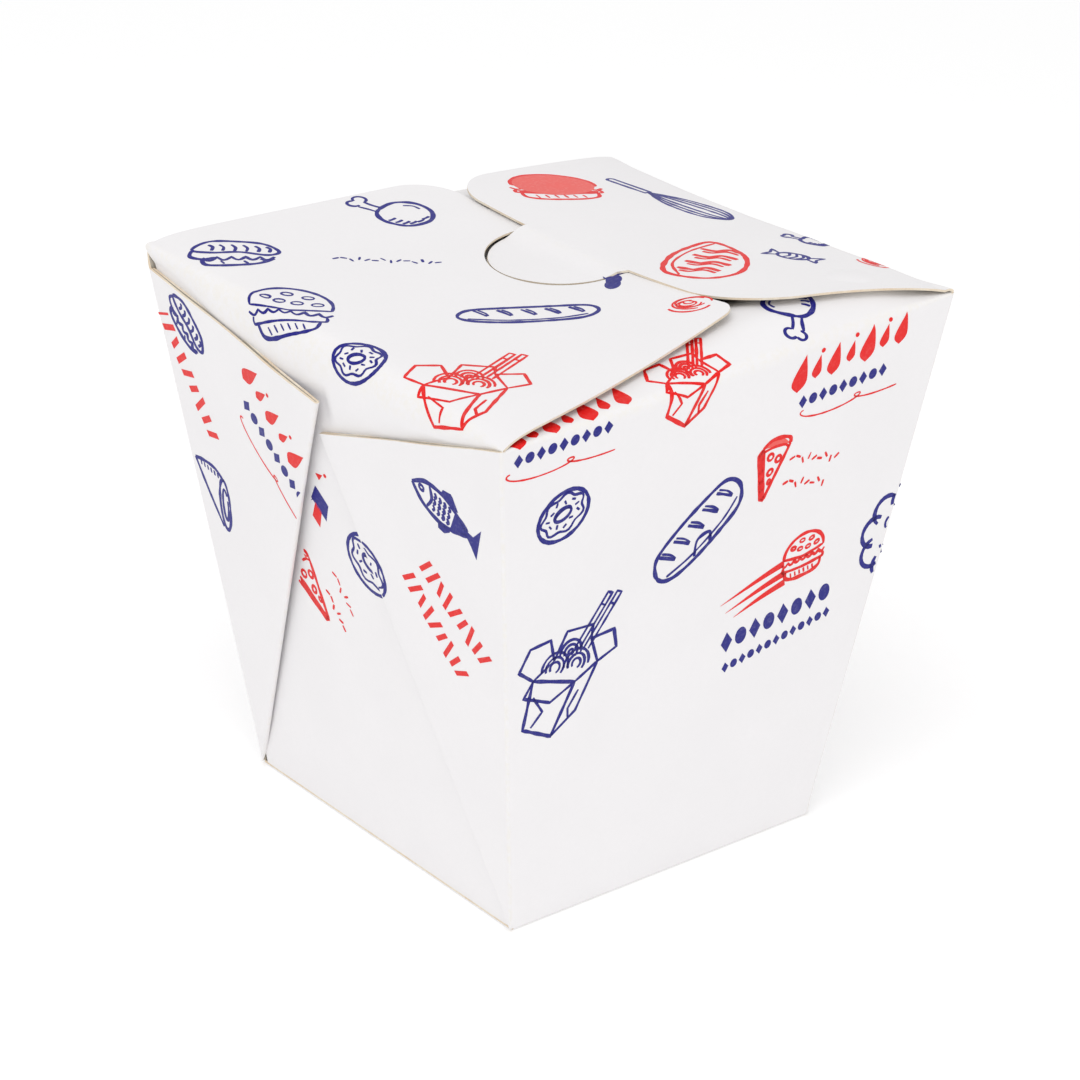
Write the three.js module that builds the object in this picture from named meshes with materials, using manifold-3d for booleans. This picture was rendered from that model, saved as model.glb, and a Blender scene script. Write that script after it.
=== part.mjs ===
// A shut takeaway carton, folded from one sheet of paperboard. Millimetres, +Z up.
// It stands on z = 0 with the middle of its foot at the origin. The plain walls face -Y and +Y. The
// walls at -X and +X each carry two folded corner leaves, and the lid's two flaps are hinged on them.
// The inside can't be reached while the carton is shut, so it is one solid.
import * as THREE from 'three';
import { mergeVertices } from 'three/addons/utils/BufferGeometryUtils.js';
import Module from 'manifold-3d';

// Driving dimensions.
const foot = { x: 70, y: 75 };
const rim = { x: 104, y: 97 };
const height = 101.6;
// Hand folding leaves the rim a little off the foot's middle, and racked: the rack is added at two
// opposite corners and taken off at the other two.
const rimShift = { x: 0.85, y: -0.7 };
const rimRack = { x: 0.9, y: -1.1, z: -1.75 };
const board = 0.5;
const leafThickness = 1;
const embed = 0.4;
// A leaf stops this short of its tip, so that two tips that meet on a wall stay apart.
const leafReach = 0.97;

// Where each corner leaf ends on its wall: along is the share of the wall's width from its -Y edge,
// up is the share of the wall's height, and lift is how far the leaf's tip stands off the wall.
const leaves = [
  { side: -1, end: -1, along: 0.515, up: 0.83, lift: 0.4 },
  { side: -1, end: 1, along: 0.47, up: 0.9, lift: 2.6 },
  { side: 1, end: -1, along: 0.515, up: 0.86, lift: 0.5 },
  { side: 1, end: 1, along: 0.485, up: 0.85, lift: 0.9 },
];

// The lid's flaps. The slotted one lies below, and the one with the tongue lies on it. A flap tapers
// from its crease, rises over the crease's roll, then follows its slope and bow. Its side edges curl
// up towards its tip, because the tongue holds the middle down. Askew moves its tip along Y.
const slottedFlap = {
  side: -1, length: 61.5, halfWidth: 49.7, taper: 7, frontCorner: 3.4, rearCorner: 9,
  roll: 1.85, slope: -0.065, bow: 2.45, twist: -0.028, twistBow: 0.018, curl: 3.6, askew: 4.4,
};
const tongueFlap = {
  side: 1, length: 42.7, halfWidth: 47.5, taper: 9.5, frontCorner: 13, rearCorner: 10,
  roll: 0.6, slope: 0.096, bow: -3.3, twist: -0.023, twistBow: -0.012, curl: 2.9, askew: 2.5,
};
const rollLength = 3;
const bowLength = 50;
const tongue = { middle: 5, halfWidth: 14.4, depth: 16.2, proud: 0.3 };
const slit = { width: 1.2, depth: 0.9, start: 0.08, end: 0.7, inset: 0.1, over: 1 };
// The tongue runs back under its own flap, and its round edge stops short of the flap on either side.
const tongueRoot = 2;
const tongueEnds = { first: 0.02, last: 0.98 };

// The front and rear dust flaps close the carton under the lid and sag inwards from their creases.
const dustSag = 2.2;
const dustSagReach = 22;
const wallStiffReach = 12;
const rimReturn = 0.8;
const rimReturnFrom = 0.8;
// The lid's flaps hang free over the dust flaps outside this share of their half width. Inside it
// they are joined to the body, ever deeper from their creases down to a floor.
const supportedShare = 0.72;
const creaseDepth = 1.2;
const rootSteepness = 0.35;
const supportFloor = height - 2 * dustSag - 1;

// How finely each shape is cut up.
const bodyCells = [12, 16, 10];
const leafCells = [6, 6, 1];
const flapCells = [14, 36, 1];
const tongueCells = [20, 4, 1];
const slitCells = [16, 1, 1];

const wasm = await Module();
wasm.setup();

const mix = THREE.MathUtils.lerp;
const smooth = THREE.MathUtils.smoothstep;

// A box of unit size, cut into cells along X, Y and Z, whose corners place() moves to their true places.
function shapedSolid(cells, place) {
  const box = new THREE.BoxGeometry(1, 1, 1, ...cells);
  box.deleteAttribute('normal');
  box.deleteAttribute('uv');
  const geometry = mergeVertices(box);
  const corners = geometry.attributes.position;
  for (let i = 0; i < corners.count; i += 1) {
    const point = place(corners.getX(i) + 0.5, corners.getY(i) + 0.5, corners.getZ(i) + 0.5);
    corners.setXYZ(i, point.x, point.y, point.z);
  }
  return geometry;
}

// place() may turn the box inside out, so its triangles are reversed where its volume is negative.
function asManifold(geometry) {
  const triVerts = new Uint32Array(geometry.index.array);
  const at = geometry.attributes.position;
  const [a, b, c] = [new THREE.Vector3(), new THREE.Vector3(), new THREE.Vector3()];
  let volume = 0;
  for (let i = 0; i < triVerts.length; i += 3) {
    a.fromBufferAttribute(at, triVerts[i]);
    b.fromBufferAttribute(at, triVerts[i + 1]);
    c.fromBufferAttribute(at, triVerts[i + 2]);
    volume += a.dot(b.cross(c));
  }
  if (volume < 0) {
    for (let i = 0; i < triVerts.length; i += 3) {
      [triVerts[i], triVerts[i + 1]] = [triVerts[i + 1], triVerts[i]];
    }
  }
  const vertProperties = new Float32Array(at.array);
  return new wasm.Manifold(new wasm.Mesh({ numProp: 3, vertProperties, triVerts }));
}

function asGeometry(manifold) {
  const mesh = manifold.getMesh();
  const geometry = new THREE.BufferGeometry();
  geometry.setAttribute('position', new THREE.BufferAttribute(new Float32Array(mesh.vertProperties), 3));
  geometry.setIndex(new THREE.BufferAttribute(new Uint32Array(mesh.triVerts), 1));
  geometry.computeVertexNormals();
  return geometry;
}

function footCorner(side, end) {
  return new THREE.Vector3((side * foot.x) / 2, (end * foot.y) / 2, 0);
}

function rimCorner(side, end) {
  const rack = side * end;
  return new THREE.Vector3(
    (side * rim.x) / 2 + rimShift.x + rack * rimRack.x,
    (end * rim.y) / 2 + rimShift.y + rack * rimRack.y,
    height + rack * rimRack.z,
  );
}

// A point on the outer face of the wall at -X or +X.
function onWall(side, along, up) {
  const low = footCorner(side, -1).lerp(footCorner(side, 1), along);
  const high = rimCorner(side, -1).lerp(rimCorner(side, 1), along);
  return low.lerp(high, up);
}

// The filled carton up to its rim. Its walls at -X and +X lie behind the leaves' thickness, and come
// out to the lid's creases above the leaves' tips.
function makeBody() {
  return shapedSolid(bodyCells, (a, b, c) => {
    const point = onWall(-1, b, c).lerp(onWall(1, b, c), a);
    const fromWall = Math.min(a, 1 - a) * rim.x;
    const fromEdge = Math.min(b, 1 - b) * rim.y;
    const sag = dustSag * smooth(fromEdge, 0, dustSagReach) * smooth(fromWall, 0, wallStiffReach);
    point.z -= c === 1 ? sag : 0;
    point.x += leafThickness * (1 - rimReturn * smooth(c, rimReturnFrom, 1)) * (1 - 2 * a);
    return point;
  });
}

// A leaf is the triangle between a corner's upright fold and a tip out on the wall, two boards thick.
function makeLeaf({ side, end, along, up, lift }) {
  const tip = onWall(side, along, up);
  return shapedSolid(leafCells, (a, b, c) => {
    const fold = footCorner(side, end).lerp(rimCorner(side, end), a);
    const out = b * leafReach;
    const point = fold.lerp(tip, out);
    const inner = -leafThickness - embed * (1 - out) + lift * out;
    point.x += side * (c === 0 ? inner : lift * out);
    return point;
  });
}

// A flap's top surface, s from its crease and y across it.
function onFlap(flap, s, y) {
  const front = rimCorner(flap.side, -1);
  const rear = rimCorner(flap.side, 1);
  const t = s / flap.length;
  const middle = front.clone().lerp(rear, 0.5);
  const lean = (rear.x - front.x) / 2 / flap.halfWidth;
  const creaseTwist = (rear.z - front.z) / 2 / flap.halfWidth;
  const twist = mix(creaseTwist, flap.twist, t) + 4 * flap.twistBow * t * (1 - t);
  const rolled = flap.roll * (1 - Math.exp(-s / rollLength));
  const lift = rolled + flap.slope * s + flap.bow * (s / bowLength) ** 2;
  return new THREE.Vector3(
    middle.x - flap.side * s + y * lean * (1 - t),
    y + mix(middle.y, flap.askew, t),
    middle.z + lift + twist * y + flap.curl * t * (y / flap.halfWidth) ** 2,
  );
}

// How far the flap reaches at a share of its half width: its whole length, less its rounded corners.
function flapReach(flap, share) {
  const radius = share < 0 ? flap.frontCorner : flap.rearCorner;
  const intoCorner = radius - (1 - Math.abs(share)) * flap.halfWidth;
  return intoCorner > 0 ? flap.length - radius + Math.sqrt(radius ** 2 - intoCorner ** 2) : flap.length;
}

function makeFlap(flap) {
  const narrowing = Math.tan(THREE.MathUtils.degToRad(flap.taper));
  return shapedSolid(flapCells, (a, b, c) => {
    // Cells crowd towards the side edges, where the tip's corners are round.
    const share = Math.sin((b - 0.5) * Math.PI);
    const s = a * flapReach(flap, share);
    const point = onFlap(flap, s, share * (flap.halfWidth - narrowing * s));
    const free = Math.abs(share) > supportedShare;
    const rooted = Math.min(creaseDepth + s * rootSteepness, point.z - supportFloor);
    const thickness = free && a > 0 ? board : rooted;
    point.z -= c === 0 ? thickness : 0;
    return point;
  });
}

// The outline of the tongue's round edge, from its front end (t = 0) to its rear end (t = 1), grown
// outwards by a margin.
function tongueEdge(t, margin) {
  const turn = Math.PI * t;
  return {
    s: tongueFlap.length + (tongue.depth + margin) * Math.sin(turn),
    y: tongue.middle - (tongue.halfWidth + margin) * Math.cos(turn),
  };
}

// A place on the slotted flap that lies under a place on the other one.
function onSlottedBelow(s, y) {
  const above = onFlap(tongueFlap, s, y - tongueFlap.askew);
  const crease = rimCorner(-1, -1).lerp(rimCorner(-1, 1), 0.5);
  return onFlap(slottedFlap, above.x - crease.x, y - slottedFlap.askew);
}

function makeTongue() {
  return shapedSolid(tongueCells, (a, b, c) => {
    const edge = tongueEdge(mix(tongueEnds.first, tongueEnds.last, a), 0);
    const s = mix(tongueFlap.length - tongueRoot, edge.s, b);
    const point = onSlottedBelow(s, edge.y);
    point.z += c === 0 ? -board : tongue.proud;
    return point;
  });
}

// The open slit beside the tongue's rear half, where the tongue goes down into the slotted flap.
function makeSlit() {
  return shapedSolid(slitCells, (a, b, c) => {
    const edge = tongueEdge(1 - mix(slit.start, slit.end, a), mix(slit.inset, slit.width, b));
    const point = onSlottedBelow(edge.s, edge.y);
    point.z += c === 0 ? -slit.depth : slit.over;
    return point;
  });
}

let solid = asManifold(makeBody());
for (const leaf of leaves) solid = solid.add(asManifold(makeLeaf(leaf)));
for (const flap of [slottedFlap, tongueFlap]) solid = solid.add(asManifold(makeFlap(flap)));
solid = solid.add(asManifold(makeTongue())).subtract(asManifold(makeSlit()));

const whiteBoard = new THREE.MeshStandardMaterial({ color: 0xf3f2f0, roughness: 0.45, metalness: 0 });
const carton = new THREE.Mesh(asGeometry(solid), whiteBoard);
carton.name = 'carton';

const group = new THREE.Group();
group.add(carton);
export default group;
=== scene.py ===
import math

import bpy
from bpy.props import FloatProperty, FloatVectorProperty, PointerProperty
from mathutils import Matrix, Vector, noise


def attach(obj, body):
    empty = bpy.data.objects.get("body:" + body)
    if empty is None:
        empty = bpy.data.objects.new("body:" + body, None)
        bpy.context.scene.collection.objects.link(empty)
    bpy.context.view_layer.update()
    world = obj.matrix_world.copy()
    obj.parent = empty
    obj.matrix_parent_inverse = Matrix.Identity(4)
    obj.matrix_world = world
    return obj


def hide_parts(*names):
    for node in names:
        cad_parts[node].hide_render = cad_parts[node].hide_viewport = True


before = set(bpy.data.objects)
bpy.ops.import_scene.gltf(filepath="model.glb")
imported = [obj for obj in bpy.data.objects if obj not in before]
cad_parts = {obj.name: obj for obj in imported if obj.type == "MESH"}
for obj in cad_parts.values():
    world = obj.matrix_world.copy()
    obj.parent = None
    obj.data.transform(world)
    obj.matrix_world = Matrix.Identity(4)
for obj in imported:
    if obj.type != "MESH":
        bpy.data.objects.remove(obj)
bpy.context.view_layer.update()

bl_info = {
    "name": "Folded Takeaway Carton",
    "version": (1, 0, 0),
    "blender": (4, 5, 0),
    "location": "3D View > Sidebar > Carton",
    "description": "Builds a shut, printed paperboard noodle carton and the studio it stands in",
    "category": "Add Mesh",
}

MM = 0.001


# ---------------------------------------------------------------- small tools

def linear(code):
    """A six-digit sRGB colour as linear red, green and blue."""
    parts = [int(code[i:i + 2], 16) / 255 for i in (1, 3, 5)]
    return tuple(p / 12.92 if p <= 0.04045 else ((p + 0.055) / 1.055) ** 2.4 for p in parts)


def mix(a, b, t):
    return a + (b - a) * t


def smooth(x, low=0.0, high=1.0):
    t = min(max((x - low) / (high - low), 0.0), 1.0)
    return t * t * (3 - 2 * t)


def bezier(a, b, c, t):
    return a.lerp(b, t).lerp(b.lerp(c, t), t)


def polar(radius, degrees):
    return radius * math.cos(math.radians(degrees)), radius * math.sin(math.radians(degrees))


# ---------------------------------------------------------------- sizes and colours

def length(name, description, mm):
    return FloatProperty(name=name, description=description, default=mm * MM, unit="LENGTH", precision=4)


def colour(name, description, code):
    return FloatVectorProperty(
        name=name, description=description, default=linear(code), size=3, min=0, max=1, subtype="COLOR")


class CartonSizes(bpy.types.PropertyGroup):
    foot_x: length("Foot width", "Foot of the carton across its plain walls", 70)
    foot_y: length("Foot depth", "Foot of the carton across its leaved walls", 75)
    rim_x: length("Rim width", "Rim of the carton across its plain walls", 104)
    rim_y: length("Rim depth", "Rim of the carton across its leaved walls", 97)
    height: length("Height", "From the foot to the rim", 101.6)
    board: length("Board", "Thickness of the paperboard", 0.4)
    leaf: length("Leaf", "Thickness of a folded corner leaf, two boards", 0.9)
    tongue: length("Tongue radius", "Radius of the tongue's round edge", 13.9)
    slit: length("Slit radius", "Radius of the slit that holds the tongue", 14.3)
    line: length("Ink line", "Width of a drawn line", 0.64)
    ink: length("Ink", "How far the ink stands on the board", 0.03)
    floor: length("Floor", "Width of the studio floor", 6000)


class CartonColours(bpy.types.PropertyGroup):
    board: colour("Coated board", "Clay coat of the printed side", "#F0EEEF")
    back: colour("Board back", "Uncoated side of the board", "#E9E3D8")
    edge: colour("Cut edge", "Fibre that shows at a cut edge", "#F0E6D4")
    red: colour("Red ink", "Red of the printed drawings", "#E20805")
    pale_red: colour("Red tint", "Screened red inside some drawings", "#EA5B54")
    navy: colour("Navy ink", "Navy of the printed drawings", "#0E0E7C")
    floor: colour("Floor", "Studio floor", "#EDEDED")


# ---------------------------------------------------------------- the folded shape, in millimetres

# How far each corner leaf reaches along its wall from the -Y edge and up it, as shares, and how far
# its tip stands off. A top under 1 starts its top edge so far up the upright fold.
LEAVES = {
    (-1, -1): {"along": 0.515, "up": 0.83, "lift": 0.4},
    (-1, 1): {"along": 0.486, "up": 0.9, "lift": 2.1, "top": 0.966},
    (1, -1): {"along": 0.515, "up": 0.86, "lift": 0.5},
    (1, 1): {"along": 0.485, "up": 0.85, "lift": 0.9},
}
# The lid's flaps by the side they are hinged on: the slotted one at -X, the one with the tongue at +X.
FLAPS = {
    -1: {"length": 61.5, "half": 49.7, "taper": 7, "front": 3.4, "rear": 9, "roll": 1.85, "slope": -0.065,
         "bow": 2.45, "twist": -0.028, "twist_bow": 0.018, "curl": 3.6, "askew": 4.4},
    1: {"length": 42.7, "half": 47.5, "taper": 9.5, "front": 13, "rear": 10, "roll": 0.6, "slope": 0.096,
        "bow": -3.3, "twist": -0.023, "twist_bow": -0.012, "curl": 2.9, "askew": 2.5},
}
RIM_SHIFT = Vector((0.85, -0.7, 0))
RIM_RACK = Vector((0.9, -1.1, -1.75))
END_SLOPE = 102.9
SIDE_SLOPE = 103.0
DUST_SAG = 2.2
DUST_SPRING = {-1: 3.1, 1: 1.2}
TONGUE_AT = (8.4, 5.5)
SLIT_AT = (8.0, 5.3)


class Carton:
    """The carton's outer faces. On every wall u runs across from its middle, and w runs up to the
    crease at w = 0 and on along the flap beyond it."""

    def __init__(self, sizes):
        self.foot = (sizes.foot_x / MM, sizes.foot_y / MM)
        self.rim = (sizes.rim_x / MM, sizes.rim_y / MM)
        self.height = sizes.height / MM
        self.board = sizes.board / MM
        self.leaf = sizes.leaf / MM
        self.tongue = sizes.tongue / MM
        self.slit = sizes.slit / MM
        self.foot_at, self.rim_at = {}, {}
        for side in (-1, 1):
            for end in (-1, 1):
                rack = side * end
                self.foot_at[side, end] = Vector((side * self.foot[0] / 2, end * self.foot[1] / 2, 0))
                rim = Vector((side * self.rim[0] / 2, end * self.rim[1] / 2, self.height))
                self.rim_at[side, end] = rim + RIM_SHIFT + RIM_RACK * rack
        self.side_half = {s: (self.rim_at[s, 1].y - self.rim_at[s, -1].y) / 2 for s in (-1, 1)}
        self.end_half = 51.0

    # The plain walls at -Y and +Y, and the dust flaps folded in from their tops.

    def on_end(self, end, share, up):
        low = self.foot_at[-1, end].lerp(self.foot_at[1, end], share)
        return low.lerp(self.rim_at[-1, end].lerp(self.rim_at[1, end], share), up)

    def end_width(self, up):
        return mix(self.foot[0], 2 * self.end_half, up)

    def end_wall(self, end, u, w):
        up = 1 + w / END_SLOPE
        width = self.end_width(up)
        point = self.on_end(end, 0.5 + u / width, up)
        bulge = 0.35 * math.cos(math.pi * u / width) * math.sin(math.pi * min(up, 1.0))
        point.y += end * bulge
        return point

    def dust_flap(self, end, u, w):
        point = self.on_end(end, 0.5 + u / self.end_width(1), 1)
        point.y -= end * w
        spring = DUST_SPRING[end] * smooth(-end * u, -40, 25) * smooth(self.end_half - abs(u), 0, 16)
        point.z += spring * (smooth(w, -1, 9) - smooth(w, 13, 30))
        point.z -= DUST_SAG * smooth(w, 12, 30) * smooth(self.end_half - abs(u), 0, 14)
        return point

    def end_roll(self, u):
        return mix(0.55, 2.3, smooth(self.end_half - abs(u), 0, 22))

    def end_face(self, end, u, w):
        roll = self.end_roll(u)
        if w <= -roll:
            return self.end_wall(end, u, w)
        if w >= roll:
            return self.dust_flap(end, u, w)
        low, high = self.end_wall(end, u, -roll), self.dust_flap(end, u, roll)
        return bezier(low, self.end_wall(end, u, 0), high, (w + roll) / (2 * roll))

    # The leaved walls at -X and +X, and the lid's flaps beyond their creases.

    def on_side(self, side, share, up):
        low = self.foot_at[side, -1].lerp(self.foot_at[side, 1], share)
        return low.lerp(self.rim_at[side, -1].lerp(self.rim_at[side, 1], share), up)

    def side_width(self, side, up):
        return mix(self.foot[1], 2 * self.side_half[side], up)

    def recess(self, side, share, up):
        """How far the wall lies behind its leaves: it comes out to the crease above their tops."""
        tops = [0.8]
        front, rear = LEAVES[side, -1], LEAVES[side, 1]
        if share < front["along"]:
            tops.append(1 - (1 - front["up"]) * share / front["along"])
        if share > rear["along"]:
            tops.append(1 - (1 - rear["up"]) * (1 - share) / (1 - rear["along"]))
        top = max(tops)
        out = smooth((up - top) / max(1 - top, 0.02), -0.12, 0.45)
        return mix(0.5, self.leaf + 0.1, smooth(up, 0, 0.12)) * (1 - 0.9 * out)

    def side_wall(self, side, u, w):
        up = 1 + w / SIDE_SLOPE
        share = 0.5 + u / self.side_width(side, up)
        point = self.on_side(side, share, up)
        share = min(max(share, 0.0), 1.0)
        point.x -= side * (self.recess(side, share, up) - self.bulge(side, share, up))
        return point

    def bulge(self, side, share, up):
        """How far the wall swells out behind the top of its rear leaf, which stands off."""
        leaf = LEAVES[side, 1]
        q = (1 - share) / (1 - leaf["along"])
        if q >= 1.1:
            return 0.0
        top = 1 - (1 - leaf["up"]) * q
        out = 0.8 * leaf["lift"] * q * (1 - smooth(q, 0.7, 1.1))
        return out * smooth(up, 0.5, top) * (1 - smooth(up, top, 1.02))

    def flap_face(self, side, s, y):
        flap = FLAPS[side]
        front, rear = self.rim_at[side, -1], self.rim_at[side, 1]
        t = s / flap["length"]
        middle = front.lerp(rear, 0.5)
        lean = (rear.x - front.x) / 2 / flap["half"]
        crease_twist = (rear.z - front.z) / 2 / flap["half"]
        twist = mix(crease_twist, flap["twist"], t) + 4 * flap["twist_bow"] * t * (1 - t)
        lift = flap["roll"] * (1 - math.exp(-s / 3)) + flap["slope"] * s + flap["bow"] * (s / 50) ** 2
        rise = lift + twist * y + flap["curl"] * t * (y / flap["half"]) ** 2
        return Vector((
            middle.x - side * s + y * lean * (1 - t),
            y + mix(middle.y, flap["askew"], t),
            middle.z + rise - 0.04,
        ))

    def flap_place(self, side, x, y):
        """Where a place seen from above lies on a flap, as its s and y."""
        flap = FLAPS[side]
        front, rear = self.rim_at[side, -1], self.rim_at[side, 1]
        middle = front.lerp(rear, 0.5)
        lean = (rear.x - front.x) / 2 / flap["half"]
        s, across = side * (middle.x - x), y
        for _ in range(4):
            t = s / flap["length"]
            across = y - mix(middle.y, flap["askew"], t)
            s = side * (middle.x + across * lean * (1 - t) - x)
        return s, across

    def flap_half(self, side, s):
        flap = FLAPS[side]
        return flap["half"] - math.tan(math.radians(flap["taper"])) * s

    def side_roll(self, side, u):
        pinched = self.side_half[side] - abs(u)
        near = 1.0 if u * side < 0 and pinched < 20 else smooth(pinched, 0, 9)
        broad = smooth(pinched, 0, 30)
        below = mix(2.4, 6.0 + 4.2 * self.free_half(side, u), broad)
        return mix(0.7, below, near), mix(0.7, mix(2.2, 4.0, broad), near)

    def free_half(self, side, u):
        """1 along the half of the crease that ends free, where the roll is broad and stands proud."""
        return smooth(-u * side, -6, 12) * smooth(self.side_half[side] - abs(u), 2, 24)

    def crease_lift(self, side, u):
        """How far the roll stands above the crease: most at the free end, where it is a small loop."""
        return mix(0.2, 1.5, smooth(-u * side, self.side_half[side] - 9, self.side_half[side]))

    def side_face(self, side, u, w):
        below, beyond = self.side_roll(side, u)
        if w <= -below:
            return self.side_wall(side, u, w)
        if w >= beyond:
            return self.flap_face(side, w, u)
        low, high = self.side_wall(side, u, -below), self.flap_face(side, beyond, u)
        crease = self.flap_face(side, 0, u)
        crease.z += self.crease_lift(side, u)
        crease.z += 1.1 * self.free_half(side, u)
        crease.x += side * (0.7 * (self.crease_lift(side, u) - 0.2) + 1.2 * self.free_half(side, u))
        return bezier(low, crease, high, (w + below) / (below + beyond))

    # A corner leaf. Its rows are rays from the foot's corner, and t is how far up the fold they end.

    def leaf_ray(self, side, end, t):
        leaf = LEAVES[side, end]
        root = self.foot_at[side, end]
        fold = root.lerp(self.rim_at[side, end], t * leaf.get("top", 1))
        tip = self.on_side(side, leaf["along"], leaf["up"])
        tip.x += side * leaf["lift"]
        edge = root.lerp(tip, t)
        out = (edge - fold).normalized()
        normal = out.cross(self.rim_at[side, end] - root).normalized()
        if normal.x * side < 0:
            normal = -normal
        return fold, out, (edge - fold).length, normal

    def leaf_face(self, side, end, t, x, depth=0.0):
        """A point on the leaf, x from its fold and depth below its outer face."""
        fold, out, reach, normal = self.leaf_ray(side, end, t)
        ripple = 0.15 * t ** 5 * (math.sin(0.21 * x + 1.3 * side + end) - 1) * smooth(x, 0, 8)
        return fold + out * x + normal * (ripple - depth)

    def leaf_place(self, side, end, u, w):
        """Where a place on the wall falls on a leaf, as its t and x, or None beside the leaf."""
        up = 1 + w / SIDE_SLOPE
        leaf = LEAVES[side, end]
        root = self.foot_at[side, end]
        rim = root.lerp(self.rim_at[side, end], leaf.get("top", 1))
        tip = self.on_side(side, leaf["along"], leaf["up"])
        place = self.on_side(side, 0.5 + u / self.side_width(side, up), up)
        a, b, p = rim - root, tip - root, place - root
        scale = a.y * b.z - a.z * b.y
        along_fold = (p.y * b.z - p.z * b.y) / scale
        to_tip = (a.y * p.z - a.z * p.y) / scale
        t = along_fold + to_tip
        if to_tip < 0 or along_fold < 0 or not 0.02 < t <= 1:
            return None
        reach = self.leaf_ray(side, end, t)[2]
        x = to_tip / t * reach
        return (t, x) if x < reach - 0.3 else None


# ---------------------------------------------------------------- making and finishing a piece

def deselect():
    bpy.ops.object.select_all(action="DESELECT")


def edit_all(piece, *steps):
    """Runs edit-mode steps on the whole of a piece."""
    deselect()
    piece.select_set(True)
    bpy.context.view_layer.objects.active = piece
    bpy.ops.object.mode_set(mode="EDIT")
    bpy.ops.mesh.select_all(action="SELECT")
    for step in steps:
        step()
    bpy.ops.object.mode_set(mode="OBJECT")


def merge_doubles():
    bpy.ops.mesh.remove_doubles(threshold=0.0006 * MM)


def board_grid(name, columns, rows, place, gap_shade_cells=None):
    """A sheet of board: a grid with each point moved by place(column, row), which also gives how
    sharply the board is folded there and what share of its thickness it has. The last argument picks
    the cells coloured with the cut edge's tan, which are painted shade: in the gap beside a leaf's
    turned edge, and in the slit, where the tan is partly the cut fibre's colour and partly painted shade."""
    deselect()
    bpy.ops.mesh.primitive_grid_add(x_subdivisions=columns, y_subdivisions=rows, size=1)
    piece = bpy.context.object
    piece.name = piece.data.name = name
    for i, face in enumerate(piece.data.polygons):
        # Cells picked by the last argument take the cut edge's material as painted shade.
        face.material_index = 1 if gap_shade_cells and gap_shade_cells(i % columns, i // columns) else 0
    made = [place(i % (columns + 1), i // (columns + 1)) for i in range(len(piece.data.vertices))]
    piece.data.vertices.foreach_set("co", [c * MM for point, _, _ in made for c in point])
    fold = piece.data.attributes.new("fold", "FLOAT", "POINT")
    fold.data.foreach_set("value", [folded for _, folded, _ in made])
    body = piece.vertex_groups.new(name="body")
    for i, (_, _, share) in enumerate(made):
        body.add([i], share, "REPLACE")
    piece.data.update()
    return piece


def join(name, pieces):
    deselect()
    for piece in pieces:
        piece.select_set(True)
    bpy.context.view_layer.objects.active = pieces[0]
    bpy.ops.object.join()
    joined = bpy.context.object
    joined.name = joined.data.name = name
    edit_all(joined, merge_doubles)
    return joined


def give_thickness(piece, thickness, edge_slots=True, **settings):
    modifier = piece.modifiers.new("Thickness", "SOLIDIFY")
    modifier.thickness = thickness * MM
    modifier.offset = -1
    modifier.use_rim = True
    if edge_slots:
        modifier.material_offset = 2
        modifier.material_offset_rim = 1
        modifier.vertex_group = "body"
    for key, value in settings.items():
        setattr(modifier, key, value)
    deselect()
    piece.select_set(True)
    bpy.context.view_layer.objects.active = piece
    bpy.ops.object.modifier_apply(modifier=modifier.name)


def finish_board(piece, materials, thickness):
    for material in materials:
        piece.data.materials.append(material)
    give_thickness(piece, thickness)
    deselect()
    piece.select_set(True)
    bpy.context.view_layer.objects.active = piece
    bpy.ops.object.shade_smooth_by_angle(angle=math.radians(38))
    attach(piece, "root")
    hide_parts("carton")


# ---------------------------------------------------------------- materials

def add(material, kind, inputs=None, **settings):
    """Adds a node with its settings, then its inputs: a value, or another node's socket to link."""
    node = material.node_tree.nodes.new(kind)
    for key, value in settings.items():
        setattr(node, key, value)
    for key, value in (inputs or {}).items():
        if isinstance(value, bpy.types.NodeSocket):
            material.node_tree.links.new(value, node.inputs[key])
        else:
            node.inputs[key].default_value = value
    return node


def new_material(name):
    made = bpy.data.materials.new(name)
    made.use_nodes = True
    made.node_tree.nodes.clear()
    return made


def blend(material, factor, a, b):
    """A colour between a and b by factor."""
    node = add(material, "ShaderNodeMix", {"Factor": factor}, data_type="RGBA")
    for socket, value in ((node.inputs[6], a), (node.inputs[7], b)):
        if isinstance(value, bpy.types.NodeSocket):
            material.node_tree.links.new(value, socket)
        else:
            socket.default_value = (*value, 1)
    return node.outputs[2]


def grain(material, place, millimetres, detail=3, roughness=0.5):
    """Noise whose lumps are about so many millimetres across."""
    node = add(material, "ShaderNodeTexNoise",
               {"Vector": place, "Scale": 0.5 / (millimetres * MM), "Detail": detail,
                "Roughness": roughness})
    return node.outputs["Fac"]


def ramp(material, value, low, high, to_low=0.0, to_high=1.0):
    node = add(material, "ShaderNodeMapRange",
               {"Value": value, "From Min": low, "From Max": high, "To Min": to_low, "To Max": to_high})
    return node.outputs["Result"]


def shade(colour, factor):
    return tuple(min(1.0, c * factor) for c in colour)


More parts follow.
